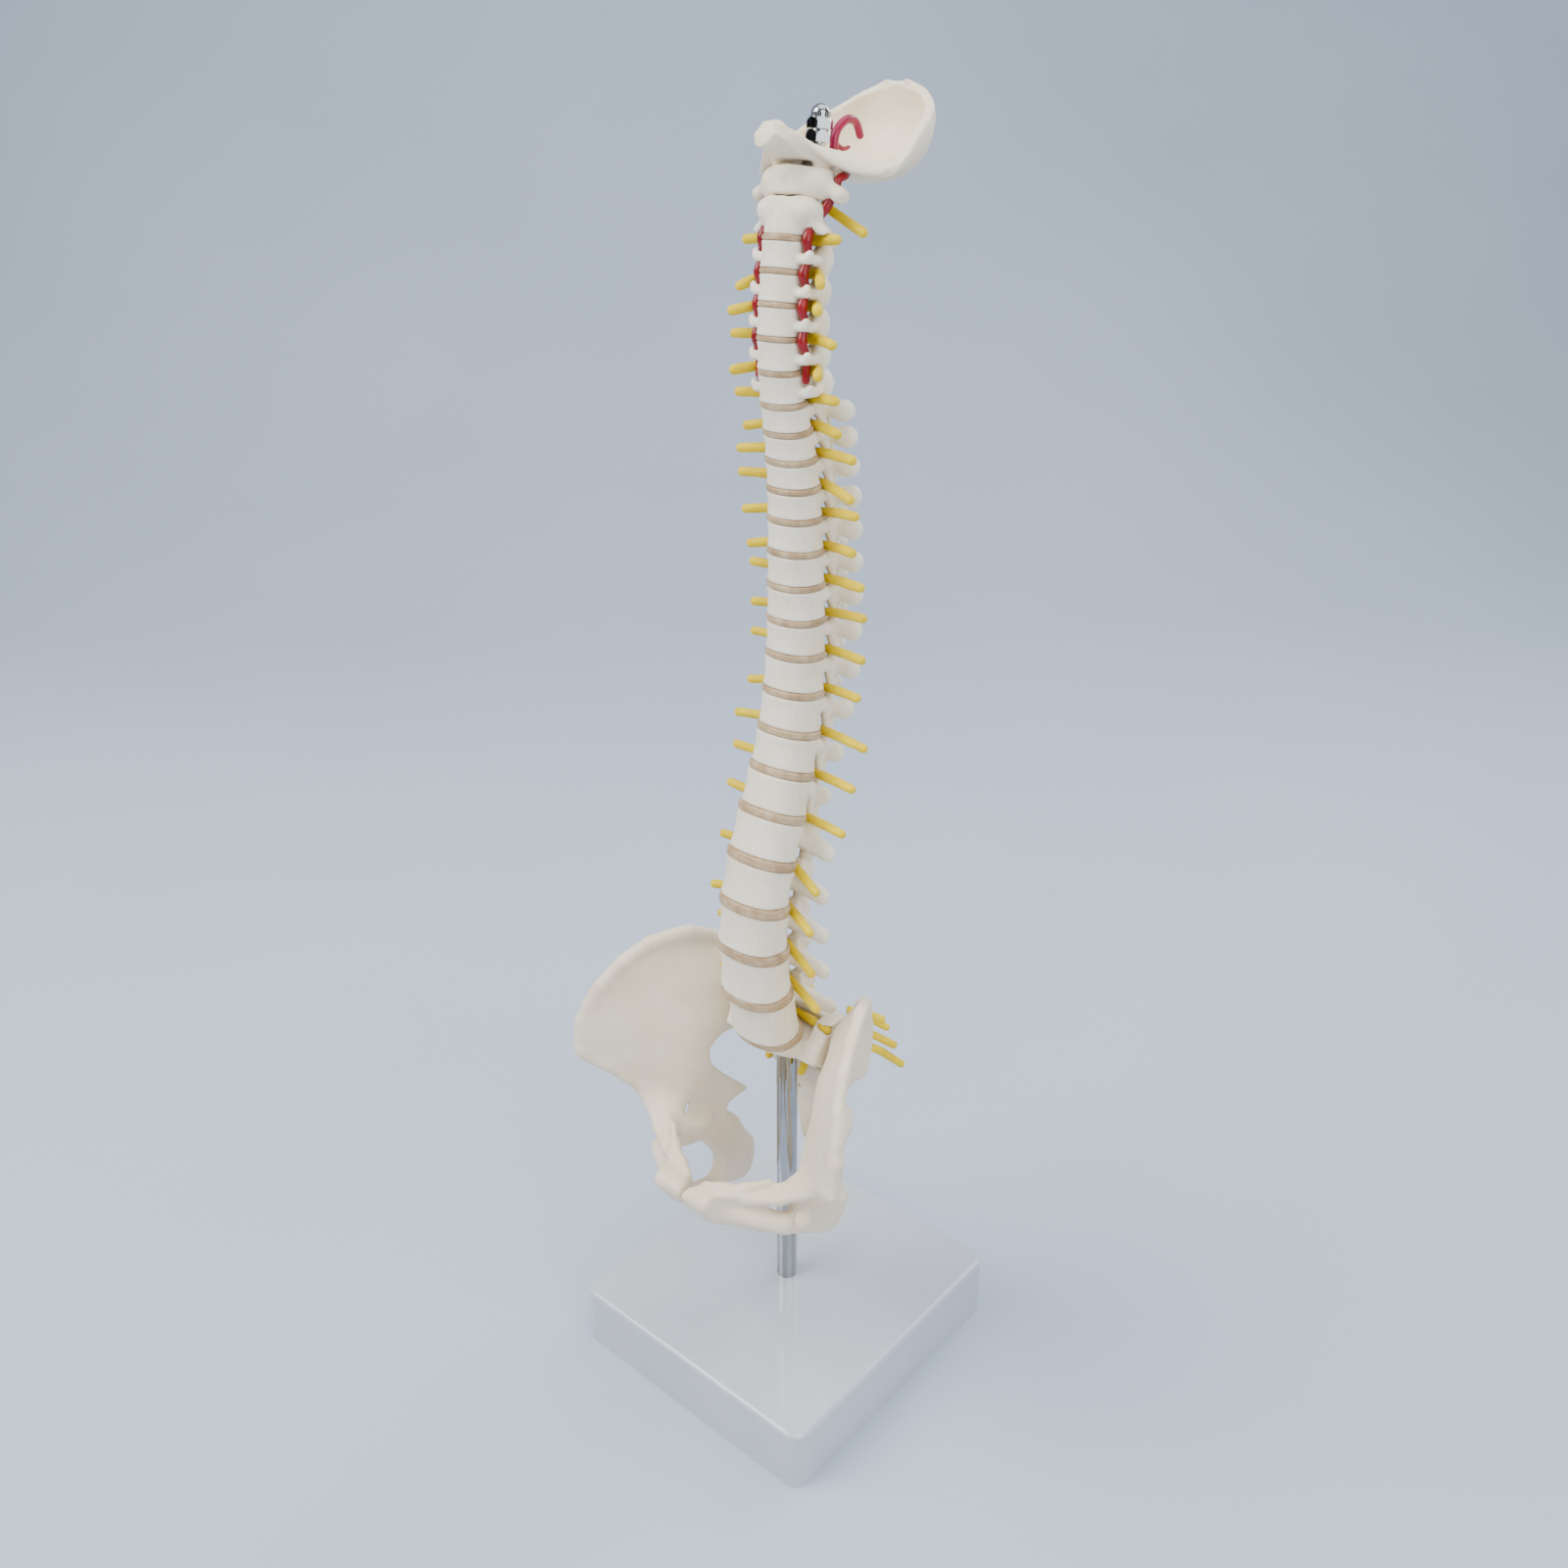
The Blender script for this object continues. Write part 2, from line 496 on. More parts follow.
def thoracic(v):
    L = Local(v)
    r, yc, H = L.r, L.yc, L.H
    tx = interp(v, [(7, 14.8), (9, 13.6), (15, 12.2), (17, 10.4), (18, 9.6)])
    ty = interp(v, [(7, 4.5), (12, 6.0), (16, 6.5), (18, 5.0)])
    lz = interp(v, [(7, 2.9), (10, 3.4), (15, 3.3), (17, 2.9), (18, 2.6)])
    reach = interp(v, [(7, 12.5), (12, 12), (18, 9.5)])
    drop = interp(v, [(7, 5), (10, 8), (15, 8.5), (17, 5), (18, 3)])

    def f(X, Y, Z):
        A = np.abs(X)
        D = body_sdf(L, X, Y, Z)
        # rib seats at the back corners of the body
        D = smin(D, ell(A, Y, Z, (L.w / 2 - 1.4, L.d / 2 - 3.4, H * 0.22), (1.7, 2.4, 2.0)), 1.4)
        D = smin(D, arch(L, A, Y, Z, 1.75, H * 0.46, 0.6, 1.8), 1.0)
        D = smin(D, caps(A, Y, Z, (r + 1.6, yc - 0.2, 0.6), (r + 1.9, yc + 1.2, -H * 0.42), 1.7, 1.5, (1, 0.9, 1)), 1.0)
        if v > 1:
            D = smin(D, facet(L, v - 2, False, A, Y, Z, H * 0.5), 0.5)
        D = smin(D, facet(L, v - 1, True, A, Y, Z, H * 0.45), 0.5)
        # transverse process: a thick flat paddle
        p, q = (r + 1.4, yc + 1.4, 0.9), (tx - 2.2, yc + ty - 0.6, -0.2)
        T = caps(A, Y, Z, p, q, 2.0, 2.2, (1, 0.85, 1.25))
        T = smin(T, ell(A, Y, Z, (tx - 2.6, yc + ty - 0.6, -0.2), (3.3, 2.2, lz), 0, 28), 1.6)
        D = smin(D, T, 1.2)
        y0 = yc + r + 0.4
        S = caps(X, Y, Z, (0, y0, 0.1), (0, y0 + reach * 0.5, -drop * 0.45), 1.75, 1.35, (0.65, 1, 1.15))
        S = smin(S, caps(X, Y, Z, (0, y0 + reach * 0.5, -drop * 0.45), (0, y0 + reach - 1.4, -drop), 1.35, 1.25, (0.8, 1, 1.1)), 0.8)
        D = smin(D, S, 1.0)
        D = np.maximum(D, -caps(X, Y, Z, (0, yc, -9), (0, yc, 9), r - 0.3))
        return rod_cut(L, X, Y, Z, grooves(L, A, X, Y, Z, D))
    lo = (-tx - 2.2, -L.d / 2 - 1, -H / 2 - drop * 0.75 - 3)
    hi = (tx + 2.2, yc + r + reach + 2, H / 2 + 3.4)
    return L, f, lo, hi


def lumbar(v):
    L = Local(v)
    r, yc, H = L.r, L.yc, L.H
    tx = interp(v, [(19, 15.6), (21, 17.6), (23, 17.0)])
    reach = interp(v, [(19, 12), (22, 11.5), (23, 8.5)])

    def f(X, Y, Z):
        A = np.abs(X)
        D = body_sdf(L, X, Y, Z, 0.06, 0.014)
        D = smin(D, arch(L, A, Y, Z, 2.5, H * 0.44, 1.0, 2.3, 0.3), 1.6)
        D = smin(D, facet(L, v - 2, False, A, Y, Z, H * 0.5), 0.8)
        D = smin(D, facet(L, v - 1, True, A, Y, Z, H * 0.46), 0.8)
        # side process: a blunt wedge, with the knob on the upper joint block
        T = caps(A, Y, Z, (r + 2.2, yc - 0.4, 1.0), (tx + 0.9, yc + 2.0, -2.2), 3.4, 2.5, (1, 0.8, 1.2))
        D = smin(D, T, 1.8)
        D = smin(D, ell(A, Y, Z, (r + 4.6, yc + 3.4, H * 0.30), (2.2, 2.3, 3.0)), 1.4)
        D = smin(D, ell(A, Y, Z, (r + 3.0, yc + 3.6, -H * 0.32), (2.6, 2.4, 3.6)), 1.4)
        y0 = yc + r + 0.6
        S = rbox(X, Y, Z - 0.06 * (Y - y0), (0, y0 + reach * 0.5 - 0.6, -1.2), (1.5, reach * 0.5, interp(v, [(22, 4.1), (23, 3.0)])), 1.3)
        S = smin(S, ell(X, Y, Z, (0, y0 + reach - 1.6, -2.2), (2.0, 1.6, 3.6)), 1.2)
        D = smin(D, S, 1.4)
        D = np.maximum(D, -caps(X, Y, Z, (0, yc, -12), (0, yc, 12), r - 0.3))
        return rod_cut(L, X, Y, Z, grooves(L, A, X, Y, Z, D))
    return L, f, (-tx - 4.4, -L.d / 2 - 1.2, -H / 2 - 5.5), (tx + 4.4, yc + r + reach + 2.4, H / 2 + 4.5)


def cervical(v):
    L = Local(v)
    r, yc, H = L.r, L.yc, L.H
    xa = L.w / 2 + 1.9
    reach = interp(v, [(2, 6.5), (4, 6.5), (5, 8), (6, 11.5)])
    drop = interp(v, [(2, 2), (6, 3)])

    def f(X, Y, Z):
        A = np.abs(X)
        D = body_sdf(L, X, Y, Z, 0.05, 0.02)
        # raised side lips of the upper face
        D = smin(D, ell(A, Y, Z, (L.w / 2 - 0.9, 0.8, H / 2 - 1.7), (0.9, 3.0, 1.1)), 0.8)
        D = smin(D, arch(L, A, Y, Z, 1.6, 4.2, -0.2, 1.6), 0.9)
        if v > 1:
            D = smin(D, facet(L, v - 2, False, A, Y, Z, H * 0.5), 0.7)
        D = smin(D, facet(L, v - 1, True, A, Y, Z, H * 0.45), 0.7)
        # gutter-shaped side process around the artery's hole
        P = ell(A, Y, Z, (xa - 0.2, 1.4, -0.9), (3.0, 2.9, 1.5), 8)
        P = smin(P, caps(A, Y, Z, (L.w / 2 - 1.6, 0.2, -0.6), (xa + 0.4, 0.2, -0.2), 1.3, 1.1), 0.9)
        P = smin(P, ell(A, Y, Z, (xa + 1.5, 0.2, 0.3), (1.3, 1.3, 1.5)), 0.9)
        P = smin(P, ell(A, Y, Z, (xa + 1.4, 3.2, -0.7), (1.9, 1.8, 1.5)), 1.0)
        P = smin(P, caps(A, Y, Z, (xa + 0.6, 3.4, -0.7), (r + 2.4, yc + 0.6, -0.3), 1.4, 1.5), 1.0)
        D = smin(D, P, 1.0)
        D = smin(D, ell(A, Y, Z, (7.8, yc + 1.4, 0.0), (2.7, 3.2, H * 0.47)), 1.0)
        y0 = yc + r + 0.3
        n = (1.2 if v < 6 else 0.2)
        S = caps(A, Y, Z, (0, y0, -0.2), (n, y0 + reach - 1.3, -drop), 1.7, 1.25, (0.8, 1, 1.1))
        D = smin(D, S, 0.9)
        D = np.maximum(D, -caps(X, Y, Z, (0, yc, -8), (0, yc, 8), r - 0.25))
        D = smax(D, -caps(A, Y, Z, (xa, 1.4, -6), (xa, 1.4, 6), 1.45), 0.35)
        return rod_cut(L, X, Y, Z, grooves(L, A, X, Y, Z, D))
    return L, f, (-xa - 4, -L.d / 2 - 1, -H / 2 - 3.4), (xa + 4, yc + r + reach + 2, H / 2 + 3.4)


def c2():
    L = Local(1)
    r, yc, H = L.r, L.yc, L.H
    dens_a, dens_b = L.to_local((0, 4.2, 421.0)), L.to_local((0, 7.7, 431.6))

    def f(X, Y, Z):
        A = np.abs(X)
        s = 1 + 0.06 * np.clip((-Z) / (H / 2), -1, 1)
        side = kidney(X / s, Y / s, 13.0, 9.8)
        D = smax(smax(side, Z - H / 2 - 0.3, 1.6), -L.plane(L.l, 1, X, Y, Z) + 0.03, 0.7)
        # shoulders that carry the first vertebra, sloping down sideways
        D = smin(D, ell(A, Y, Z, (5.6, 1.0, H / 2 - 3.0), (5.8, 5.2, 4.2), 0, 0), 1.6)
        D = smin(D, caps(X, Y, Z, dens_a, dens_b, 3.2, 2.8), 1.6)
        # front ridge between two shallow hollows
        D = smin(D, caps(X, Y, Z, (0, -L.d / 2 + 0.7, -H * 0.32), (0, -L.d / 2 + 1.4, H * 0.4), 1.3, 0.9), 1.6)
        D = smin(D, arch(L, A, Y, Z, 1.8, 5.2, -0.8, 1.9), 1.0)
        D = smin(D, facet(L, 0, True, A, Y, Z, H * 0.42), 0.7)
        # side processes, pointing out and down
        P = caps(A, Y, Z, (6.4, 1.2, 0.2), (12.9, 2.4, -2.7), 2.9, 1.3)
        D = smin(D, P, 1.4)
        y0 = yc + r + 0.3
        S = caps(A, Y, Z, (0, y0, -0.4), (1.6, y0 + 7.4, -3.2), 2.3, 1.7, (0.85, 1, 1.1))
        D = smin(D, S, 1.0)
        D = np.maximum(D, -caps(X, Y, Z, (0, yc, -9), (0, yc, 4), r - 0.25))
        D = smax(D, -caps(A, Y, Z, (8.6, 1.4, -7), (8.6, 1.4, 4), 1.45), 0.35)
        D = rod_cut(L, X, Y, Z, grooves(L, A, X, Y, Z, D))
        a, b = L.to_local((0, 5.0, 427.5)), L.to_local((0, 14.3, 439.8))
        return np.maximum(D, -caps(X, Y, Z, a, b, 2.4))
    return L, f, (-15, -7, -8.5), (15, 23, 12.5)


def c1():
    o, lean = (0, 7.4, 430.2), math.radians(10)

    def f(X, Y, Z):
        A = np.abs(X)
        # front arch: a stout band with a knob; rear arch: thinner
        ang = np.arctan2(A, -(Y - 1.0))
        rho = np.sqrt((A / 1.0) ** 2 + ((Y - 1.0) / 1.0) ** 2)
        R = 7.6 + 0.9 * np.sin(np.clip(ang, 0, np.pi)) + 2.4 * np.clip((ang - 1.6) / 1.5, 0, 1)
        hz = np.interp(ang, [0, 0.5, 1.0, 1.7, 2.4, 3.14], [4.0, 3.8, 3.8, 2.6, 1.7, 2.2])
        zc = np.interp(ang, [0, 0.5, 1.0, 1.7, 3.14], [-0.9, -0.9, -1.2, -1.2, -0.6])
        th = np.interp(ang, [0, 0.8, 1.7, 3.14], [1.35, 1.6, 1.4, 1.4])
        ring = np.sqrt(np.maximum(np.abs(rho - R) - th + 0.9, 0) ** 2 + np.maximum(np.abs(Z - zc) - hz + 0.9, 0) ** 2) - 0.9
        D = ring
        D = smin(D, ell(A, Y, Z, (8.6, -1.8, -1.5), (3.9, 5.0, 4.8), 0, -16), 1.4)     # side masses
        D = smin(D, ell(A, Y, Z, (0.0, -7.6, 0.6), (1.9, 1.3, 2.1)), 1.0)               # front knob
        T = caps(A, Y, Z, (10.0, -1.0, -1.8), (14.9, -0.6, -3.9), 2.8, 1.8, (1, 1.25, 1))
        T = smin(T, ell(A, Y, Z, (15.0, -0.4, -4.2), (2.2, 2.7, 2.2)), 1.0)
        D = smin(D, T, 1.2)
        D = smin(D, ell(A, Y, Z, (0, 12.6, -0.8), (1.6, 1.6, 1.6)), 1.0)
        D = smax(D, -ell(A, Y, Z, (8.2, -1.4, 7.6), (3.6, 6.0, 5.2)), 0.8)             # seats for the skull
        D = smax(D, -ell(A, Y, Z, (6.6, -2.0, -8.6), (5.6, 7.0, 3.4)), 0.8)
        D = smax(D, -caps(A, Y, Z, (12.6, 0.2, -8), (12.6, 0.2, 5), 1.5), 0.4)
        D = np.maximum(D, -caps(X, Y, Z, (0, 0.3, -9), (0, 0.3, 9), 3.7))
        return D
    V, Q = nets(f, (-18.5, -10.5, -8.2), (18.5, 15.5, 5.4), 0.42)
    V = relax(V, Q, 2)
    c, s = math.cos(lean), math.sin(lean)
    V = np.stack([V[:, 0], o[1] + V[:, 1] * c + V[:, 2] * s, o[2] - V[:, 1] * s + V[:, 2] * c], 1)
    place("atlas_ring", V, Q, BONE_T, "vertebra_c1")


def build_vertebrae():
    c1()
    for v in range(1, 24):
        L, f, lo, hi = c2() if v == 1 else cervical(v) if v < 7 else thoracic(v) if v < 19 else lumbar(v)
        h = interp(v, [(1, 0.40), (6, 0.42), (8, 0.5), (18, 0.55), (20, 0.6), (23, 0.62)])
        V, Q = nets(f, lo, hi, h)
        V = relax(V, Q, 2)
        place("bone_" + NAMES[v], L.to_world(V), Q, BONE, "vertebra_" + NAMES[v])


# ------------------------------------------------------------------ discs
def build_discs():
    low = ["c2", "c3", "c4", "c5", "c6", "c7"] + ["t%d" % i for i in range(1, 13)] + ["l%d" % i for i in range(1, 6)]
    high = low[1:] + ["s1"]
    for k, d in enumerate(DISC):
        w, dp, t = d[4], d[5], d[3]
        n, m = 96, 9
        ang = np.arange(n) * 2 * math.pi / n
        # outline from the same kidney as the bodies, found by marching outwards
        rr = np.full(n, 0.3)
        for _ in range(60):
            x, y = rr * np.cos(ang), rr * np.sin(ang)
            rr = np.maximum(rr - kidney(x, y, w * 1.0, dp * 1.0) * 0.7, 0.2)
        hub = (0.0, d[6])
        hr = 2.1
        rows = []
        for i in range(m):
            q = -1 + 2 * i / (m - 1)
            bulge = 0.985 + 0.022 * (1 - abs(q) ** 3) - (0.05 if abs(q) == 1 else 0)
            rows.append(np.stack([rr * bulge * np.cos(ang), rr * bulge * np.sin(ang), np.full(n, q * t / 2 * 0.985)], 1))
        inner = []
        for i in (m - 1, 0):
            z = rows[i][0, 2]
            inner.append(np.stack([hub[0] + hr * np.cos(ang), hub[1] + hr * np.sin(ang), np.full(n, z)], 1))
        V = np.concatenate(rows + inner)
        Q = []
        loops = list(range(m)) + [m, m + 1]
        order = loops + [0]
        for a, b in zip(order[:-1], order[1:]):
            for j in range(n):
                j2 = (j + 1) % n
                Q.append((a * n + j, a * n + j2, b * n + j2, b * n + j))
        a = math.radians(d[2])
        Vw = np.stack([V[:, 0], d[0] + V[:, 1] * math.cos(a) + V[:, 2] * math.sin(a), d[1] - V[:, 1] * math.sin(a) + V[:, 2] * math.cos(a)], 1)
        place("soft_disc_%s_%s" % (low[k], high[k]), Vw, np.array(Q), DISCM, "disc_%s_%s" % (low[k], high[k]))


# ------------------------------------------------------------------ swept tubes (nerves, cord, arteries)
def catmull(P, n):
    P = np.asarray(P, float)
    out = []
    for i in range(len(P) - 1):
        a, b, c, d = P[max(0, i - 1)], P[i], P[i + 1], P[min(len(P) - 1, i + 2)]
        for s in range(n):
            t = s / n
            out.append(0.5 * (2 * b + (c - a) * t + (2 * a - 5 * b + 4 * c - d) * t * t + (3 * b - a - 3 * c + d) * t ** 3))
    out.append(P[-1])
    return np.array(out)


def tube(P, R, n=14, cap0=False, cap1=True):
    """Tube along P with radii R; cap0 and cap1 add rounded ends."""
    P, R = np.asarray(P, float), np.asarray(R, float)
    def dome(p, t, r):
        k = np.arange(1, 6) / 5 * (math.pi / 2)
        return p + np.outer(np.sin(k) * r, t), np.cos(k) * r + 0.02
    if cap1:
        t = P[-1] - P[-2]; t /= np.linalg.norm(t)
        a, b = dome(P[-1], t, R[-1]); P, R = np.concatenate([P, a]), np.concatenate([R, b])
    if cap0:
        t = P[0] - P[1]; t /= np.linalg.norm(t)
        a, b = dome(P[0], t, R[0]); P, R = np.concatenate([a[::-1], P]), np.concatenate([b[::-1], R])
    T = np.gradient(P, axis=0); T /= np.linalg.norm(T, axis=1)[:, None] + 1e-12
    u = np.cross(T[0], [0.123, 0.456, 0.88]); u /= np.linalg.norm(u)
    V = []
    ang = np.arange(n) * 2 * math.pi / n
    for p, t, r in zip(P, T, R):
        u = u - t * (u @ t); u /= np.linalg.norm(u)
        w = np.cross(t, u)
        V.append(p + r * (np.outer(np.cos(ang), u) + np.outer(np.sin(ang), w)))
    m = len(P)
    Q = [(i * n + j, i * n + (j + 1) % n, (i + 1) * n + (j + 1) % n, (i + 1) * n + j) for i in range(m - 1) for j in range(n)]
    V = np.concatenate(V)
    c0, c1 = len(V), len(V) + 1
    V = np.concatenate([V, P[:1], P[-1:]])
    # closing fans as quads of two triangles each
    for j in range(0, n, 2):
        Q.append((c0, (j + 2) % n, j + 1, j))
        b = (m - 1) * n
        Q.append((c1, b + j, b + j + 1, b + (j + 2) % n))
    return V, np.array(Q)


def join(parts):
    Vs, Qs, o = [], [], 0
    for V, Q in parts:
        Vs.append(V); Qs.append(Q + o); o += len(V)
    return np.concatenate(Vs), np.concatenate(Qs)


def build_nerves():
    rng = np.random.default_rng(7)
    parts = []
    for k in range(23):
        y0, z0 = nerve_start(k)
        e = NEND[k]
        for s in (1, -1):
            a = np.array([s * 2.4, y0, z0])
            b = np.array([s * e[0], y0 - e[1], z0 + (e[2] if s > 0 else e[3])])
            # in the neck the stub first passes behind the artery
            P = catmull([a, (s * 8.2, y0 - 0.1, z0 + 0.1), b], 4) if k < 5 else a + (b - a) * np.linspace(0, 1, 9)[:, None]
            t = np.linspace(0, 1, 9)[:, None]
            P = P + np.sin(t * math.pi) * np.array([[0, 0, 0.35]])
            R = np.interp(t[:, 0], [0, 0.3, 0.55, 1], [1.35, 1.62, 1.6, 1.5]) * (1 + 0.03 * rng.standard_normal(9))
            parts.append(tube(P, R, 16))
    # first pair, between the two uppermost vertebrae
    for s in (1, -1):
        parts.append(tube(catmull([(s * 3.0, 13.2, 423.6), (s * 8.0, 12.4, 421.4), (s * 19.0, 11.6, 416.6)], 4), np.linspace(1.35, 1.45, 9), 16))
        # in front of and behind the sacrum
        parts.append(tube(catmull([(s * 7.6, 5.2, 133.8), (s * 8.0, 2.0, 131.6), (s * 8.0, -1.0, 128.4)], 4), np.linspace(1.5, 1.5, 9), 16))
        parts.append(tube(catmull([(s * 9.0, 24.6, 142.8), (s * 13.6, 29.6, 140.8), (s * 18.4, 33.4, 138.2)], 4), np.linspace(1.6, 1.6, 9), 16))
        parts.append(tube(catmull([(s * 9.6, 25.6, 140.4), (s * 14.4, 30.6, 138.4), (s * 20.0, 34.6, 134.8)], 4), np.linspace(1.6, 1.45, 9), 16))
        parts.append(tube(catmull([(s * 7.8, 26.0, 133.6), (s * 15, 31.4, 131.2), (s * 22.4, 36.4, 126.8)], 4), np.linspace(1.6, 1.5, 9), 16))
        parts.append(tube(catmull([(s * 6.8, 26.4, 124), (s * 13.6, 28.2, 126.2), (s * 18.8, 30.4, 126.4), (s * 21.8, 35.4, 121.4), (s * 24, 39.6, 117)], 4),
                          np.linspace(1.6, 1.5, 17), 16))
    V, Q = join(parts)
    place("nerve_stubs", V, Q, NERVE, "spinal_nerves")


def canal_pt(v):
    L = Local(v)
    a = L.a
    return (0, L.cy + L.yc * math.cos(a), L.cz - L.yc * math.sin(a))


def build_cord():
    P = catmull([canal_pt(v) for v in range(21, 0, -1)] + [(0, 14.6, 431.6)], 3)
    V, Q = tube(P, np.full(len(P), 1.6), 14, True, True)
    place("cord", V, Q, CORD, "spinal_cord")


def side_pt(v, s, dz=0.0):
    L = Local(v)
    x = 8.6 if v == 1 else L.w / 2 + 1.9
    a = L.a
    return np.array([s * x, L.cy + 1.4 * math.cos(a) + dz * math.sin(a), L.cz - 1.4 * math.sin(a) + dz * math.cos(a)])


def build_arteries():
    parts = []
    for s in (1, -1):
        P = [side_pt(5, s, -6.5)]
        for v in (5, 4, 3, 2):
            mid = (side_pt(v, s) + side_pt(v - 1, s)) / 2
            P += [side_pt(v, s), mid + np.array([-s * 0.1, -1.5, 0])]
        P += [side_pt(1, s, -1), (s * 10.6, 4.6, 422.6), (s * 12.5, 6.7, 427.4), (s * 12.7, 8.0, 430.4), (s * 12.4, 11.4, 431.4),
              (s * 9.4, 15.6, 432.4), (s * 4.4, 19.6, 433.8), (0, 21.6, 435.2)]
        C = catmull(P, 5)
        R = np.full(len(C), 1.2)
        z = C[:, 2]
        for v in (5, 4, 3, 2):
            zm = ((side_pt(v, s) + side_pt(v - 1, s)) / 2)[2]
            R = R + 0.38 * np.exp(-((z - zm) / 1.7) ** 2) * (C[:, 1] < 12)
        R = R + 0.3 * np.exp(-((z - 423.5) / 2.0) ** 2)
        parts.append(tube(C, R, 16, True, True))
    C = catmull([(0, 21.6, 434.6), (0, 21.6, 440.4), (0, 23.4, 443.8), (0, 27.6, 446.0), (0, 31.4, 445.2), (0, 33.5, 441.8)], 7)
    parts.append(tube(C, np.interp(np.arange(len(C)), [0, 20, len(C) - 1], [1.35, 1.25, 1.15]), 16, True, True))
    C = catmull([(0, 22.4, 439.4), (0, 25.4, 438.2), (0, 28.2, 438.6)], 5)
    parts.append(tube(C, np.linspace(0.8, 0.55, len(C)), 12, True, True))
    V, Q = join(parts)
    place("arteries", V, Q, ARTERY, "vertebral_arteries")


# ------------------------------------------------------------------ hip bones
HIP = [
    (-49.5, 135), (-48.4, 143.5), (-45.6, 150.5), (-41.2, 159), (-33, 167.5), (-22, 173.4), (-9.4, 175), (2, 170.6),
    (9, 163.5), (15, 156), (18.5, 148), (18.2, 138), (15.8, 130), (12.8, 126.6), (8.5, 127.8), (1.6, 131.3),
    (-4.5, 134.2), (-10.2, 133), (-13.8, 128.6), (-12.8, 122), (-7.4, 115), (-1.4, 108.6), (1.5, 104.8), (-2.4, 102.8),
    (-6.6, 99.6), (-6.6, 96), (-3.4, 93.8), (-0.3, 86.8), (2.9, 78.8), (2.9, 70.8), (-1.5, 65.4), (-8.5, 66.2),
    (-15.5, 70), (-23.4, 73.8), (-31, 77.9), (-37.6, 82), (-43.3, 86.2), (-49, 89), (-53.5, 94.6), (-57.6, 100),
    (-58, 104.6), (-54, 106.8), (-49, 105.6), (-45, 105.4), (-41.4, 105.6), (-37.4, 108), (-34.8, 114.6), (-38.2, 118.2),
    (-42.4, 123), (-48.2, 127.4)]
HOLE = [
    (-37.6, 101.6), (-33.8, 101.4), (-29.1, 97.7), (-24, 92.8), (-19.9, 87.4), (-16.9, 81.2), (-18.1, 77.4), (-22.5, 77.8),
    (-27.8, 80.8), (-32.7, 83.9), (-36.3, 87.2), (-37.2, 92.6)]
GY = [-62, -54, -48, -42, -34, -26, -14, -2, 10, 26]
GZ = [56, 72, 86, 100, 108, 116, 126, 140, 155, 168, 180]
XI = [
    [0.1, 0.1, 3, 6.5, 11.5, 16, 17.4, 18.5, 19.5, 20],
    [0.1, 0.1, 2.4, 6.4, 11.7, 16, 17.9, 19, 20, 20],
    [0.1, 0.1, 1.2, 7, 13.8, 18, 19.6, 20.4, 20.7, 20.2],
    [0.1, 0.1, 3, 14, 23.5, 27.4, 26, 22.2, 20.5, 20.5],
    [0.1, 0.1, 6, 17, 25, 28.5, 26.2, 22.8, 21, 21],
    [60, 56, 52, 48, 42, 28, 25, 24, 23, 22],
    [70, 64, 57, 51, 42, 31, 24.6, 22.6, 22, 22],
    [70, 64, 58, 52, 44.5, 36, 25.4, 22, 22, 22],
    [70, 65, 60.5, 56, 50, 43, 32.5, 22.6, 22, 22],
    [68, 64, 60, 57, 52.5, 48, 41, 35, 29.5, 22],
    [66, 62, 59, 56.5, 53, 49, 43, 37, 31, 24]]
TH = [
    [6, 6, 6, 5, 5, 5, 7, 8, 8, 8],
    [6, 6, 6, 5, 5, 5, 7, 8, 8, 8],
    [9, 9, 8, 6.5, 6, 6, 8, 8, 8, 7],
    [11, 11, 11, 9, 9, 10, 9, 6, 5, 5],
    [10, 10, 10, 11, 11, 11, 11.5, 6, 5, 5],
    [4, 4, 4, 4, 6, 12, 12, 7, 6, 6],
    [4, 4, 4, 4, 4.4, 7, 9, 8, 5.5, 5],
    [4.5, 4.5, 4, 3.2, 3, 3.5, 6, 7, 5, 4.5],
    [4, 4, 3.5, 2.6, 2.4, 2.2, 3, 5, 4.5, 4],
    [4, 4, 4, 3.6, 3.2, 3, 3, 3.4, 3.6, 4],
    [4.5, 4.5, 4.5, 4.5, 4.5, 4.5, 4.5, 4.5, 4.5, 4.5]]


def closed_curve(P, n=6):
    P = np.asarray(P, float)
    m = len(P)
    out = []
    for i in range(m):
        a, b, c, d = P[i - 1], P[i], P[(i + 1) % m], P[(i + 2) % m]
        for s in range(n):
            t = s / n
            out.append(0.5 * (2 * b + (c - a) * t + (2 * a - 5 * b + 4 * c - d) * t * t + (3 * b - a - 3 * c + d) * t ** 3))
    return np.array(out)


def poly_sdf(P, Y, Z):
    """2-D signed distance to a closed polygon, negative inside."""
    d = np.full(Y.shape, 1e9)
    inside = np.zeros(Y.shape, bool)
    for a, b in zip(P, np.roll(P, -1, 0)):
        e = b - a
        wy, wz = Y - a[0], Z - a[1]
        h = np.clip((wy * e[0] + wz * e[1]) / (e @ e + 1e-12), 0, 1)
        d = np.minimum(d, (wy - h * e[0]) ** 2 + (wz - h * e[1]) ** 2)
        cross = ((a[1] > Z) != (b[1] > Z)) & (Y < (b[0] - a[0]) * (Z - a[1]) / (b[1] - a[1] + 1e-12) + a[0])
        inside ^= cross
    return np.sqrt(d) * np.where(inside, -1, 1)


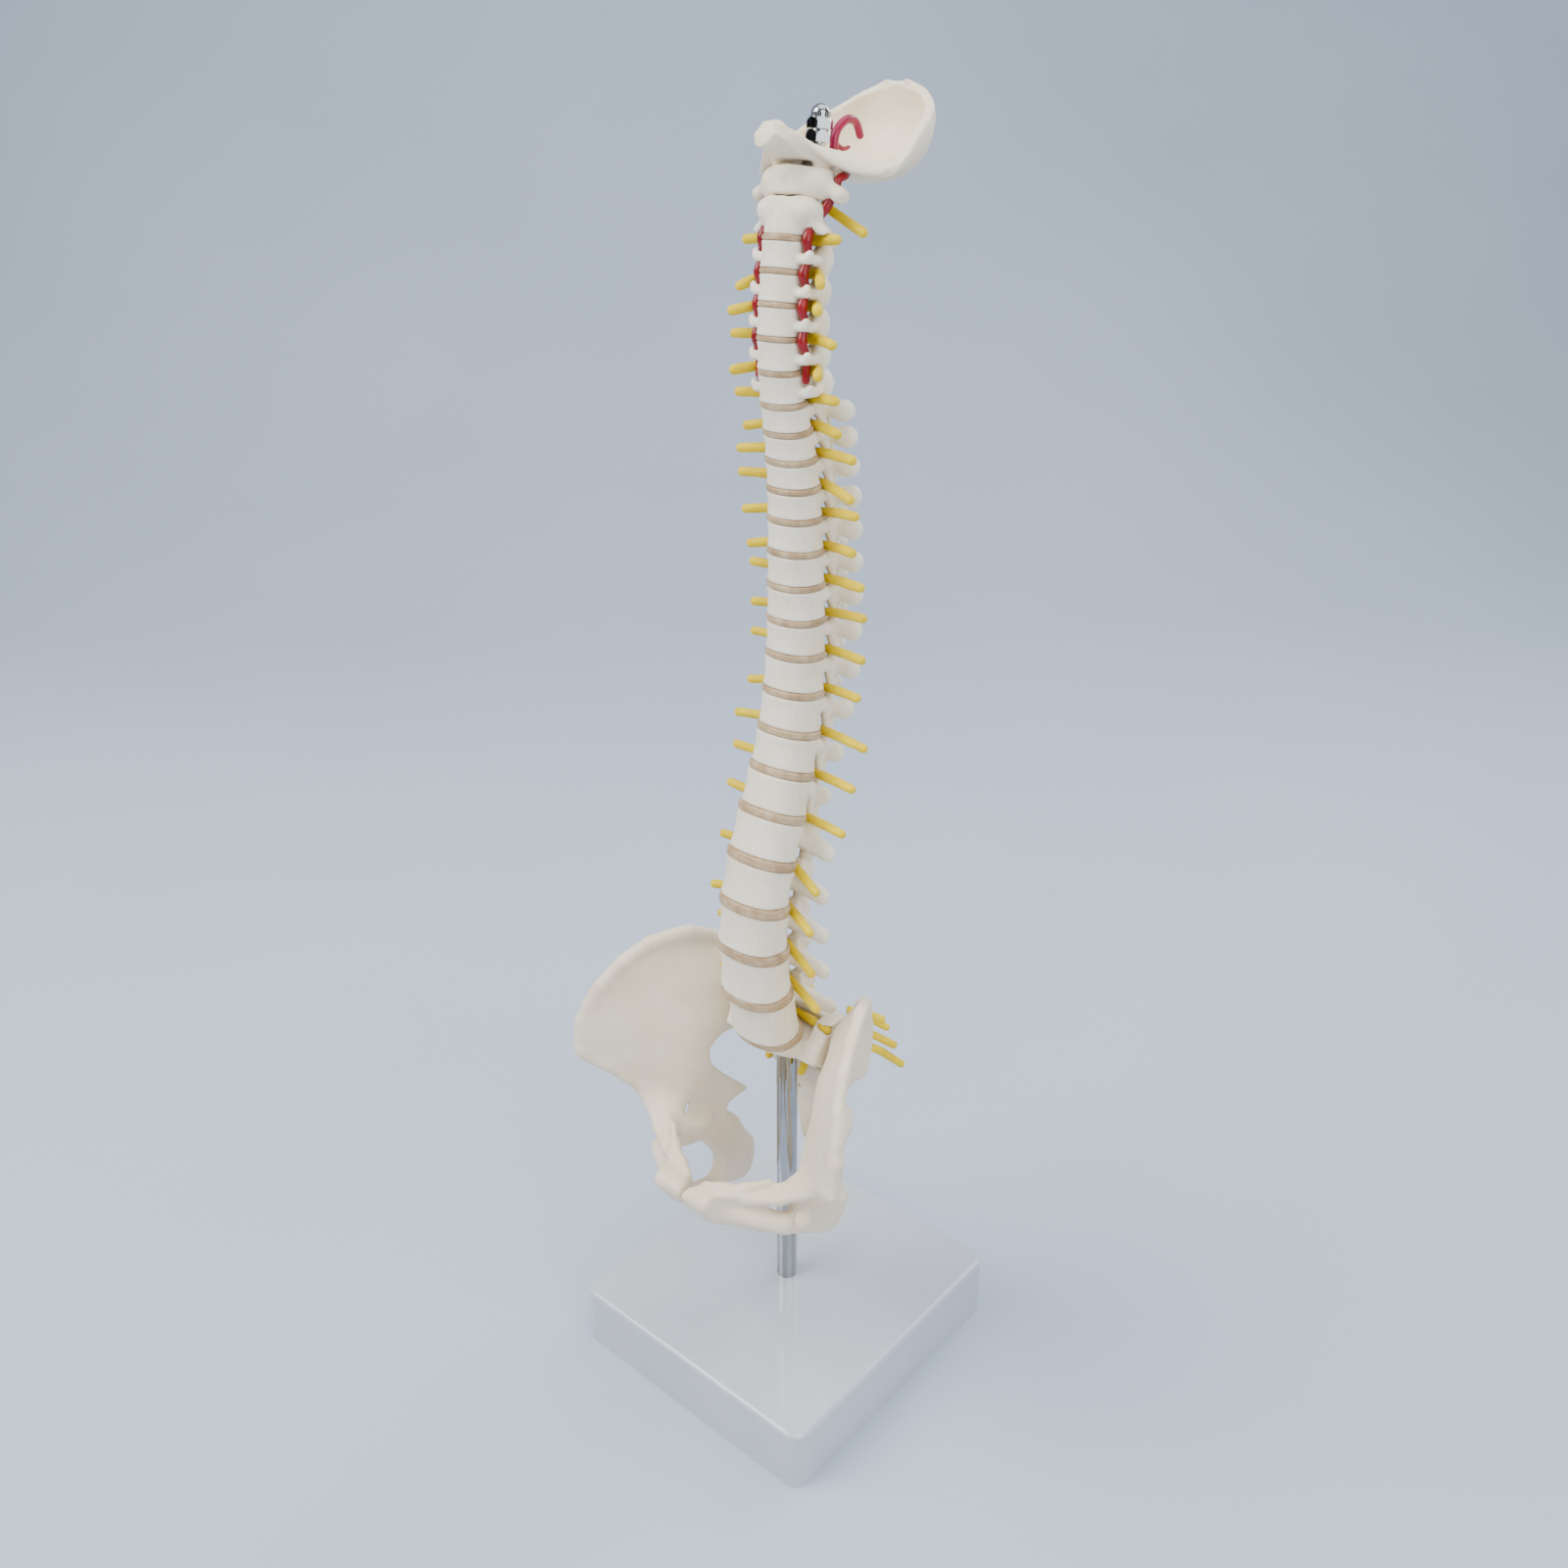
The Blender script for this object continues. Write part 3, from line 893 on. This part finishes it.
def blur(a, s):
    """Separable blur with a Gaussian of s cells."""
    n = int(3 * s) + 1
    k = np.exp(-0.5 * (np.arange(-n, n + 1) / s) ** 2); k /= k.sum()
    for ax in (0, 1):
        p = np.pad(a, [(n, n) if i == ax else (0, 0) for i in (0, 1)], mode="edge")
        a = sum(w * np.take(p, range(i, i + a.shape[ax]), axis=ax) for i, w in enumerate(k))
    return a


def table(T, ys, zs, s):
    T = np.array(T, float)
    A = np.stack([np.interp(ys, GY, row) for row in T])          # rows z, columns y
    B = np.stack([np.interp(zs, GZ, A[:, j]) for j in range(len(ys))], 1)
    return blur(B, s).T                                             # y, z


# the slit follows the line of sight through the thin floor of the socket
SLIT = (-0.962, 1.080)


def build_hips():
    h = 0.62
    lo, hi = (-0.4, -60.5, 59.5), (65.5, 24.8, 177.8)
    n = [int(math.ceil((hi[i] - lo[i]) / h)) + 1 for i in range(3)]
    ys = lo[1] + h * np.arange(n[1]); zs = lo[2] + h * np.arange(n[2])
    Y2, Z2 = np.meshgrid(ys, zs, indexing="ij")
    out = np.maximum(poly_sdf(closed_curve(HIP), Y2, Z2), 0.9 - poly_sdf(closed_curve(HOLE), Y2, Z2))
    xi, th = table(XI, ys, zs, 2.4 / h), table(TH, ys, zs, 2.4 / h)
    gy, gz = np.gradient(xi + th / 2, h)
    steep = np.sqrt(1 + np.minimum(gy ** 2 + gz ** 2, 6))
    crest = [(62, -47.0, 135.6), (61.4, -46.0, 143), (59.6, -43.6, 149.4), (56.4, -39.6, 157.2), (52, -32.4, 165.4), (47.5, -22.2, 171), (41, -9.4, 172.4),
             (34.6, 1.6, 167.8), (29, 8.0, 161.6), (25.4, 13.4, 154.6), (24, 16.2, 147)]
    brim = [(5, -49, 104.4), (10.5, -46.5, 104.6), (17.5, -42.6, 106.4), (23.6, -37, 109), (28, -30, 115.5), (29.2, -22.5, 126), (27.4, -17.6, 136)]
    front = [(61, -47.4, 131.5), (54.6, -41.2, 124.6), (48.6, -36.8, 119), (44.2, -33.8, 114.6), (38.4, -34.6, 109.6), (30.5, -38.8, 105.4), (20, -44.6, 102.8)]

    def line(X, Y, Z, pts, r0, r1, D, k):
        for i in range(len(pts) - 1):
            a, b = pts[i], pts[i + 1]
            m0 = [min(a[j], b[j]) - 9 for j in range(3)]; m1 = [max(a[j], b[j]) + 9 for j in range(3)]
            ix = [slice(max(0, int((m0[j] - lo[j]) / h)), max(0, int((m1[j] - lo[j]) / h) + 1)) for j in range(3)]
            ix = tuple(ix)
            q0, q1 = i / (len(pts) - 1), (i + 1) / (len(pts) - 1)
            D[ix] = smin(D[ix], caps(X[ix], Y[ix], Z[ix], a, b, r0 + (r1 - r0) * q0, r0 + (r1 - r0) * q1), k)
        return D

    def f(X, Y, Z):
        slab = (np.abs(X - (xi + th / 2)[None]) - (th / 2)[None]) / steep[None]
        D = smax(slab, out[None].astype(F) + 0.15, 2.2)
        D = line(X, Y, Z, crest, 1.7, 1.9, D, 2.4)
        D = line(X, Y, Z, brim[:4], 1.2, 0.8, D, 3.6)
        D = line(X, Y, Z, front, 2.2, 0.9, D, 3.0)
        D = smin(D, ell(X, Y, Z, (9.5, -56.4, 103.6), (3.6, 2.6, 3.0)), 2.0)       # pubic tubercle
        D = smin(D, ell(X, Y, Z, (22.6, -2.4, 75), (4.6, 5.0, 8.6), -20), 3.0)     # seat bone
        D = smin(D, caps(X, Y, Z, (24.4, -4.5, 105), (22.6, 0.6, 104.8), 2.2, 0.8), 1.5)
        D = smin(D, caps(X, Y, Z, (9, -51, 96.5), (31, -37, 94.5), 3.4, 4.0), 2.5)   # thick lower lip of the front branch
        D = smin(D, ell(X, Y, Z, (57.4, -37.5, 152), (2.6, 6, 5), 0, 25), 2.5)      # crest's outer swelling
        # hip socket: a raised rim around a round cup, open at its lower edge
        ax = np.array([0.562, -0.312, -0.766])
        c = np.array([35.5, -24.0, 97.0])
        t = (X - c[0]) * ax[0] + (Y - c[1]) * ax[1] + (Z - c[2]) * ax[2]
        rad = np.sqrt(np.maximum((X - c[0]) ** 2 + (Y - c[1]) ** 2 + (Z - c[2]) ** 2 - t * t, 0))
        wave = 0.5 * np.sin(np.arctan2(Z - c[2], Y - c[1]) * 2 + 0.6) + 0.3 * np.sin(np.arctan2(Z - c[2], Y - c[1]) * 7)
        collar = smax(smax(rad - 10.9 - 0.12 * t, t - 0.6 - wave, 1.2), -t - 11, 2.0)
        D = smin(D, collar, 2.6)
        s = c + ax * 4.6
        D = smax(D, -(np.sqrt((X - s[0]) ** 2 + (Y - s[1]) ** 2 + (Z - s[2]) ** 2) - 10.0), 0.9)
        # slit through the cup's thin floor
        yy, zz = Y + 25.6 + (X - 28) * SLIT[0], Z - 107.8 + (X - 28) * SLIT[1]
        a = math.radians(24)
        yy, zz = yy * math.cos(a) - zz * math.sin(a), yy * math.sin(a) + zz * math.cos(a)
        D = np.maximum(D, -np.maximum(np.maximum(np.abs(yy) - 0.85, np.abs(zz) - 2.4), np.abs(X - 33) - 13))
        D = np.maximum(D, 0.12 - X)
        return D
    V, Q = nets(f, lo, hi, h)
    V = relax(V, Q, 3)
    V[:, 0] = np.maximum(V[:, 0], 0.12)
    place("pelvis_left", V, Q, BONE_H, "hip_bone_left")
    W = V * np.array([-1, 1, 1])
    place("pelvis_right", W, Q[:, ::-1], BONE_H, "hip_bone_right")


# ------------------------------------------------------------------ sacrum
def build_sacrum():
    s1 = DISC[22]
    a0 = math.radians(s1[2])
    fx, fy, fw, ft = fac(22)
    zs_ = [85, 88, 93, 102, 110, 118, 126, 134, 138, 142, 147, 152, 158]
    ya_ = [11.0, 10.6, 11.6, 14, 13.2, 10.6, 7.6, 5.6, -4, -9.8, -7.4, -2.6, 2.0]
    yp_ = [12.4, 12.8, 16.4, 20, 22.6, 24.4, 25, 24.8, 23, 21.4, 17.6, 13, 7]
    hw_ = [2.2, 2.8, 4.6, 8.2, 13.0, 18.4, 21.2, 21.8, 21.8, 21.8, 21.8, 21.4, 20.8]

    def f(X, Y, Z):
        A = np.abs(X)
        zf = Z[0, 0]
        ya, yp, hw = np.interp(zf, zs_, ya_), np.interp(zf, zs_, yp_), np.interp(zf, zs_, hw_)
        ya, yp, hw = (v[None, None, :] for v in (ya, yp, hw))
        bow = 0.006 * A ** 2 * np.clip((Z - 100) / 30, 0, 1)
        front = ya - 0.35 * np.clip((A - 8) / 10, 0, 1) * 2 - Y
        back = Y - (yp - bow * 1.2)
        D = smax(smax(front, back, 1.6), A - hw, 2.4)
        # drum of the first segment
        yy = (Y - s1[0]) * math.cos(a0) - (Z - s1[1]) * math.sin(a0)
        zz = (Y - s1[0]) * math.sin(a0) + (Z - s1[1]) * math.cos(a0)
        q = np.clip(-zz / 12, 0, 1)
        drum = kidney(X * (1 + 0.06 * q), yy * (1 + 0.10 * q) - 1.0 * q, s1[4], s1[5])
        drum = smax(drum, -zz - np.clip(1.6 + 0.72 * (Y + 19.5), 1.6, 12.0), 1.6)
        D = smin(D, drum, 2.0)
        # ridges between the fused segments, crest and joint blocks
        for z0, y0 in ((131.5, 5.6), (122.5, 8.6), (113.5, 12.2), (105.5, 13.8)):
            D = smin(D, caps(A, Y, Z, (0, y0 + 0.6, z0), (interp(z0, [(105, 4), (131, 9)]), y0 + 0.9, z0), 0.9), 1.4)
        for z0, y0 in ((141, 24.6), (133, 26.4), (125.5, 26.4), (117.5, 25.2)):
            D = smin(D, ell(X, Y, Z, (0, y0, z0), (1.5, 2.6, 3.4)), 2.0)
        fb = rbox(A, yy, zz, (fx, fy + ft / 2, -3.6), (fw / 2, ft / 2, 4.6), 0.8)
        # room for the last disc, the last vertebra and its nerves
        cut = np.maximum(zz + s1[3] / 2, np.abs(X) - 14.9) * 0 + np.minimum(zz + s1[3] / 2 - 0.02, 14.9 - A)
        D = np.where((yy < fy), np.maximum(D, np.minimum(zz + s1[3] / 2 + 0.03, 14.9 - A)), D)
        D = np.where((yy > fy + ft + 0.2), np.maximum(D, np.minimum(zz + 1.6, 14.9 - A)), D)
        D = smin(D, np.where(yy > fy - 1.5, fb, 5.0), 0.6)
        D = np.where(yy < fy - 0.02, np.maximum(D, np.minimum(zz + s1[3] / 2 + 0.03, 14.9 - A)), D)
        D = smax(D, -caps(X, Y, Z, (0, 8.2, 158), (0, 17, 124), 3.2, 2.4, (1.25, 1, 1)), 0.6)
        for k in range(4):
            p, r = (9.6 - k * 1.2, -6 + k * 4, 132.5 - k * 9.3), 2.0 - k * 0.2
            D = smax(D, -caps(A, Y, Z, p, (8.6 - k * 1.1, 36, 139.5 - k * 9.5), r, r * 0.8), 0.8)
        y0, z0 = nerve_start(22)
        e = NEND[22]
        D = smax(D, -caps(A, Y, Z, (2.0, y0, z0), (e[0], y0 - e[1], z0 + e[2]), 1.8), 0.5)
        D = smax(D, -(np.sqrt(X ** 2 + Y ** 2) + np.where(Z < 137.0, 0, 50) - 4.7), 0.4)
        D = np.maximum(D, -(np.sqrt(X ** 2 + Y ** 2) + np.where(Z < 142.5, 0, 50) - 3.45))
        D = np.maximum(D, -caps(X, Y, Z, (0, 0, 139.8), (0, s1[0] + math.cos(a0), s1[1] - math.sin(a0) + 0.4), 2.3))
        D = np.maximum(D, A - 21.88)
        return D
    V, Q = nets(f, (-22.4, -21, 85.5), (22.4, 30.4, 154.5), 0.6)
    V = relax(V, Q, 2)
    V[:, 0] = np.clip(V[:, 0], -21.88, 21.88)
    place("sacral_bone", V, Q, BONE, "sacrum")


# ------------------------------------------------------------------ occipital bone
OCC = [(-8.6, 443.4, 2.8, -8.2, 443.4, 4.8, 4.0), (-3.0, 441.2, 4.9, -3.0, 441.2, 5.8, 4.0), (2.0, 438.4, 8.6, 2.2, 437.0, 5.6, 3.6),
       (7.0, 437.4, 13.8, 7.2, 433.2, 4.6, 3.2), (13.0, 436.6, 18.9, 11.6, 431.2, 3.6, 2.8), (20.0, 435.0, 22.6, 16.9, 431.4, 3.4, 2.8),
       (27.0, 431.6, 24.8, 20.5, 435.8, 3.0, 2.8), (34.0, 430.2, 24.0, 26.0, 439.6, 2.8, 2.8), (41.0, 431.4, 22.4, 32.0, 443.4, 2.8, 2.8),
       (47.0, 435.6, 20.4, 38.0, 446.6, 2.8, 2.8), (51.0, 441.6, 17.0, 44.2, 449.8, 2.8, 2.8), (52.6, 448.0, 12.6, 47.8, 452.8, 2.8, 2.8),
       (52.0, 453.2, 8.2, 49.8, 454.6, 2.8, 2.8), (51.0, 456.4, 3.2, 50.4, 456.0, 2.6, 2.6)]


def build_occiput():
    O = np.array(OCC, float)
    n_i, n_j = 73, 49
    ui = np.linspace(0, len(O) - 1, n_i)
    dense = catmull(O, 12)
    rows = np.stack([np.interp(ui, np.linspace(0, len(O) - 1, len(dense)), dense[:, c]) for c in range(7)], 1)
    t = np.linspace(-1, 1, n_j)
    a = np.abs(t)
    P = np.zeros((n_i, n_j, 3))
    P[:, :, 0] = rows[:, 2:3] * (np.sin(t * math.pi / 2) * (0.86 + 0.14 * a))[None]
    b = (a ** 2.2)[None]
    P[:, :, 1] = rows[:, 0:1] + (rows[:, 3:4] - rows[:, 0:1]) * b
    P[:, :, 2] = rows[:, 1:2] + (rows[:, 4:5] - rows[:, 1:2]) * b
    du, dv = np.gradient(P, axis=0), np.gradient(P, axis=1)
    N = np.cross(dv, du)
    N /= np.linalg.norm(N, axis=2)[:, :, None] + 1e-9
    th = (rows[:, 5:6] + (rows[:, 6:7] - rows[:, 5:6]) * a[None])[:, :, None]
    top, bot = P + N * th / 2, P - N * th / 2
    V = np.concatenate([bot.reshape(-1, 3), top.reshape(-1, 3)])
    q = n_i * n_j
    Q = []
    for i in range(n_i - 1):
        for j in range(n_j - 1):
            k = i * n_j + j
            Q.append((k, k + n_j, k + n_j + 1, k + 1))
            Q.append((q + k, q + k + 1, q + k + n_j + 1, q + k + n_j))
    ring = list(range(n_j)) + [i * n_j + n_j - 1 for i in range(1, n_i)] + [(n_i - 1) * n_j + j for j in range(n_j - 2, -1, -1)] \
        + [i * n_j for i in range(n_i - 2, 0, -1)]
    for k in range(len(ring)):
        c, d = ring[k], ring[(k + 1) % len(ring)]
        Q.append((c, d, q + d, q + c))
    parts = [(V, np.array(Q))]
    # solid block of the clivus, joint knobs below, seat under the nut
    ax = np.array([0, math.sin(math.radians(8)), math.cos(math.radians(8))])

    def blob(c, r, rx=0.0):
        f = lambda X, Y, Z: ell(X, Y, Z, c, r, rx)
        m = max(r) + 1
        return nets(f, (c[0] - m, c[1] - m, c[2] - m), (c[0] + m, c[1] + m, c[2] + m), 0.5)
    parts.append(blob((0, -6.4, 441.8), (3.8, 5.6, 3.2), 28))
    for s in (1, -1):
        parts.append(blob((s * 7.6, 8.6, 434.6), (2.8, 5.0, 2.4), 12))
    V, Q = join(parts)
    ob = mesh_object("skull_base", V, Q, BONE_T)
    md = ob.modifiers.new("r", "REMESH"); md.mode = "VOXEL"; md.voxel_size = 0.0005
    sm = ob.modifiers.new("s", "SMOOTH"); sm.factor = 0.5; sm.iterations = 4
    # openings for the rod and for the vessels
    cutters = []
    for p0, p1, r in (((0, -8.3, 443.2), (0, -18.3, 450.0), 16.0), ((0, 6.0, 428.9), (0, 13.6, 438.9), 2.6), ((0, 12.9, 430), (0, 14.9, 444), 2.7), ((0, 21.9, 424), (0, 21.9, 446), 3.0)):
        Vc, Qc = tube([p0, p1], [r, r], 32, False, False)
        c = mesh_object("cut", Vc, Qc, BONE_T)
        bo = ob.modifiers.new("b", "BOOLEAN"); bo.operation = "DIFFERENCE"; bo.object = c; bo.solver = "EXACT"
        cutters.append(c)
    bpy.context.view_layer.update()
    dg = bpy.context.evaluated_depsgraph_get()
    me = bpy.data.meshes.new_from_object(ob.evaluated_get(dg))
    ob.modifiers.clear()
    ob.data = me
    me.name = "skull_base"
    for c in cutters:
        bpy.data.objects.remove(c)
    me.polygons.foreach_set("use_smooth", np.ones(len(me.polygons), bool))
    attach(ob, "root")
    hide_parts("occipital_bone")


# ------------------------------------------------------------------ carried-over CAD nodes
def dress_cad():
    for n, m in (("base", BASEM), ("stand_tube", CHROME), ("core_rod", STEEL), ("cap_nut", CHROME), ("lock_nut", CHROME)):
        o = NODES[n]
        if not o.material_slots:
            o.data.materials.append(m)
        for s in o.material_slots:
            s.material = m


# ------------------------------------------------------------------ stage and light
def stage():
    m, nt, b = principled("backdrop")
    n = noise(nt, tex_coord(nt, (1, 1, 1)), 3.0, 2)
    nt.links.new(ramp(nt, n, [(0.3, g(178, 189, 205)), (0.7, g(183, 194, 209))]), b.inputs["Base Color"])
    b.inputs["Roughness"].default_value = 0.9
    pts = [(-1.6, 0.0)] + [(0.9, 0.0)] + [(0.9 + 0.7 * math.sin(a), 0.7 - 0.7 * math.cos(a)) for a in np.linspace(0.1, math.pi / 2, 14)] + [(1.6, 3.0)]
    V, Q = [], []
    for s, z in pts:
        V += [(-3500, s * 1000, z * 1000), (3500, s * 1000, z * 1000)]
    Q = [(2 * i, 2 * i + 1, 2 * i + 3, 2 * i + 2) for i in range(len(pts) - 1)]
    V = np.array(V, float)
    az = math.radians(41)
    R = np.array([[math.cos(az), math.sin(az), 0], [-math.sin(az), math.cos(az), 0], [0, 0, 1]])
    ob = mesh_object("floor", V @ R, np.array(Q), m)
    w = bpy.data.worlds.new("world")
    bpy.context.scene.world = w
    w.use_nodes = True
    wt = w.node_tree
    soft = wt.nodes["Background"]
    soft.inputs["Color"].default_value = (0.80, 0.87, 0.97, 1)
    soft.inputs["Strength"].default_value = 0.78
    # polished metal sees a studio with bright panels and dark gaps between them
    wc = wt.nodes.new("ShaderNodeTexCoord")
    wave = wt.nodes.new("ShaderNodeTexWave")
    wave.inputs["Scale"].default_value, wave.inputs["Distortion"].default_value = 0.9, 2.4
    wave.inputs["Detail"].default_value = 1.0
    wt.links.new(wc.outputs["Generated"], wave.inputs["Vector"])
    panels = wt.nodes.new("ShaderNodeBackground")
    panels.inputs["Strength"].default_value = 1.0
    wt.links.new(ramp(wt, wave.outputs["Fac"], [(0.44, (0.008, 0.008, 0.009, 1)), (0.60, (0.10, 0.11, 0.12, 1)), (0.80, (0.9, 0.92, 0.96, 1))]),
                 panels.inputs["Color"])
    lp = wt.nodes.new("ShaderNodeLightPath")
    pick = wt.nodes.new("ShaderNodeMixShader")
    wt.links.new(lp.outputs["Is Glossy Ray"], pick.inputs[0])
    wt.links.new(soft.outputs[0], pick.inputs[1])
    wt.links.new(panels.outputs[0], pick.inputs[2])
    wt.links.new(pick.outputs[0], wt.nodes["World Output"].inputs["Surface"])

    def area(name, loc, target, size, power, colour=(1, 1, 1)):
        l = bpy.data.lights.new(name, "AREA")
        l.shape = "RECTANGLE"; l.size, l.size_y = size
        l.energy, l.color = power, colour
        o = bpy.data.objects.new(name, l)
        bpy.context.scene.collection.objects.link(o)
        o.location = loc
        o.rotation_euler = (Vector(target) - Vector(loc)).to_track_quat("-Z", "Y").to_euler()
    area("key", (-0.55, -0.75, 1.15), (0, 0, 0.24), (0.9, 0.9), 22, (1.0, 0.98, 0.95))
    area("fill", (0.95, -0.35, 0.75), (0, 0, 0.24), (0.8, 1.0), 8, (0.97, 0.985, 1.0))
    area("top", (0.1, 0.15, 1.45), (0, 0, 0.2), (1.1, 1.1), 9, (1, 1, 1))
    area("rim", (0.2, 0.95, 0.95), (0, 0, 0.3), (0.9, 0.6), 7, (0.95, 0.98, 1.0))


make_camera()
dress_cad()
build_vertebrae()
build_discs()
build_nerves()
build_cord()
build_arteries()
build_hips()
build_sacrum()
build_occiput()
stage()
bpy.context.view_layer.update()
